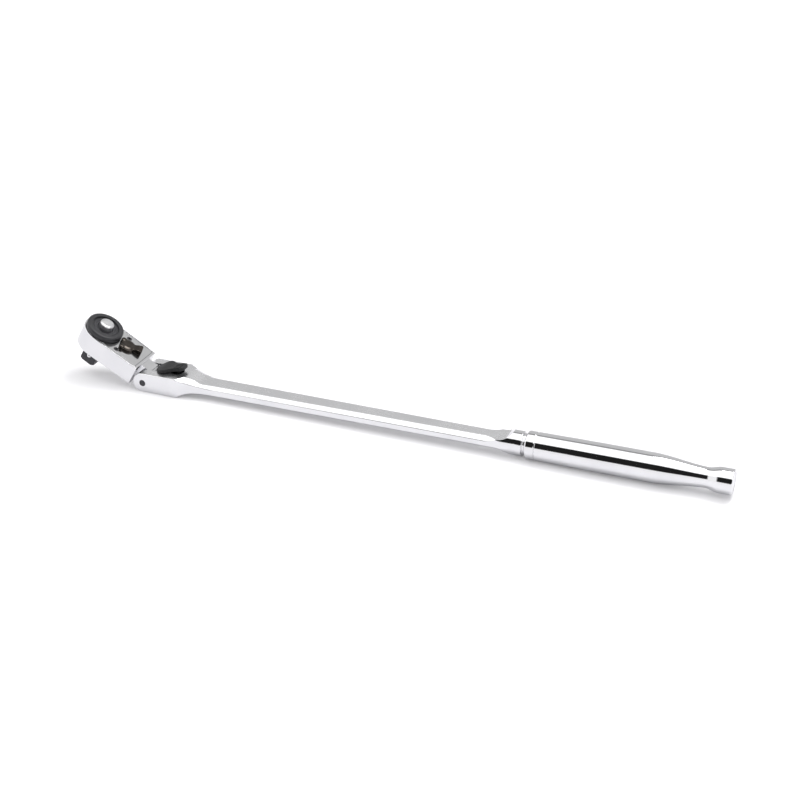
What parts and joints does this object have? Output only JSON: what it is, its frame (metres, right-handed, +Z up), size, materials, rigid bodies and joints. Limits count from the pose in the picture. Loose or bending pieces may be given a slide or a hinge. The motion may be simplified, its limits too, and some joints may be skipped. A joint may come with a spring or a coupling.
{
  "type": "ratchet wrench",
  "caption": "Long-handled ratchet wrench with a locking flex head, quick-release square drive and reversing lever.",
  "frame": {"origin": "centre of the clevis block's flat underside, 14 mm behind the head's hinge axis", "axes": "+X along the handle towards the grip's end, +Z up through the top of the handle, +Y to the right when looking from the grip towards the head, along the hinge pin"},
  "size_m": [0.4006, 0.0244, 0.0421],
  "materials": {
    "forged_chrome": "polished chrome plating over forged steel",
    "plate_chrome": "polished chrome plating, slightly greyer than the head",
    "black_oxide": "black oxide on steel, satin",
    "black_lever": "matt black powder coat on steel",
    "black_ring": "matt black anodised ring",
    "black_chrome": "dark black-chrome plating with a warm tint",
    "bright_steel": "ground bright steel",
    "polished_ball": "polished bearing ball",
    "satin_steel": "fine satin plating",
    "spring_steel": "drawn spring wire",
    "seal_rubber": "black nitrile rubber"
  },
  "bodies": {
    "handle_body": {"handle": "forged_chrome", "hinge_pin": "black_oxide", "hinge_washers": "bright_steel", "lock_lever_pin": "bright_steel", "lock_spring": "spring_steel"},
    "lock_lever_body": {"lock_lever": "black_lever"},
    "lock_pawl_body": {"lock_pawl": "bright_steel"},
    "head": {"head_body": "forged_chrome", "cover_plate": "plate_chrome", "cover_screws": "black_oxide"},
    "drive": {"drive_gear": "black_oxide", "gear_seal": "seal_rubber", "spin_ring": "black_ring", "release_spring": "spring_steel"},
    "button": {"release_button": "satin_steel"},
    "ball": {"detent_ball": "polished_ball"},
    "reverser": {"reversing_lever": "black_chrome", "lever_seal": "seal_rubber", "upper_plunger_spring": "spring_steel", "lower_plunger_spring": "spring_steel"},
    "upper_pawl_body": {"upper_pawl": "bright_steel"},
    "lower_pawl_body": {"lower_pawl": "bright_steel"},
    "upper_plunger_body": {"upper_plunger": "bright_steel"},
    "lower_plunger_body": {"lower_plunger": "bright_steel"}
  },
  "joints": [
    {"name": "head_tilt", "type": "hinge", "parent": "handle_body", "child": "head", "pos_m": [-0.014, 0, 0.00575], "axis": [0, 1, 0], "range_deg": [-120, 60]},
    {"name": "lock_lever_press", "type": "hinge", "parent": "handle_body", "child": "lock_lever_body", "pos_m": [0.0006, 0, 0.00495], "axis": [0, 1, 0], "range_deg": [0, 8], "deforming": ["lock_spring"]},
    {"name": "lock_pawl_slide", "type": "slide", "parent": "handle_body", "child": "lock_pawl_body", "axis": [1, 0, 0], "range_m": [0, 0.00067], "stiffness_N_per_m": 9000, "springref_m": -0.0004},
    {"name": "drive_spin", "type": "hinge", "parent": "head", "child": "drive", "pos_m": [-0.04777, 0, 0.02525], "axis": [0.5, 0, 0.866], "continuous": true},
    {"name": "button_press", "type": "slide", "parent": "drive", "child": "button", "axis": [-0.5, 0, -0.866], "range_m": [0, 0.0018], "stiffness_N_per_m": 800, "springref_m": -0.001, "deforming": ["release_spring"]},
    {"name": "ball_retract", "type": "slide", "parent": "drive", "child": "ball", "axis": [0, 1, 0], "range_m": [0, 0.0009]},
    {"name": "reverse", "type": "hinge", "parent": "head", "child": "reverser", "pos_m": [-0.03262, 0, 0.0165], "axis": [0.5, 0, 0.866], "range_deg": [-40, 0]},
    {"name": "upper_pawl_shift", "type": "hinge", "parent": "head", "child": "upper_pawl_body", "pos_m": [-0.04777, 0, 0.02525], "axis": [0.5, 0, 0.866], "range_deg": [0, 10]},
    {"name": "lower_pawl_shift", "type": "hinge", "parent": "head", "child": "lower_pawl_body", "pos_m": [-0.04777, 0, 0.02525], "axis": [0.5, 0, 0.866], "range_deg": [0, 10]},
    {"name": "upper_plunger_travel", "type": "slide", "parent": "reverser", "child": "upper_plunger_body", "axis": [0.8138, 0.342, -0.4698], "range_m": [0, 0.0005], "stiffness_N_per_m": 300, "springref_m": -0.001, "deforming": ["upper_plunger_spring"]},
    {"name": "lower_plunger_travel", "type": "slide", "parent": "reverser", "child": "lower_plunger_body", "axis": [0.8138, 0.342, -0.4698], "range_m": [0, 0.0005], "stiffness_N_per_m": 300, "springref_m": -0.001, "deforming": ["lower_plunger_spring"]}
  ],
  "couplings": [
    {"joint": "lock_lever_press", "follows": "lock_pawl_slide", "rad_per_m": 208.33},
    {"joint": "ball_retract", "follows": "button_press", "ratio": 0.5},
    {"joint": "upper_pawl_shift", "follows": "reverse", "ratio": -0.25},
    {"joint": "lower_pawl_shift", "follows": "reverse", "ratio": -0.25}
  ]
}
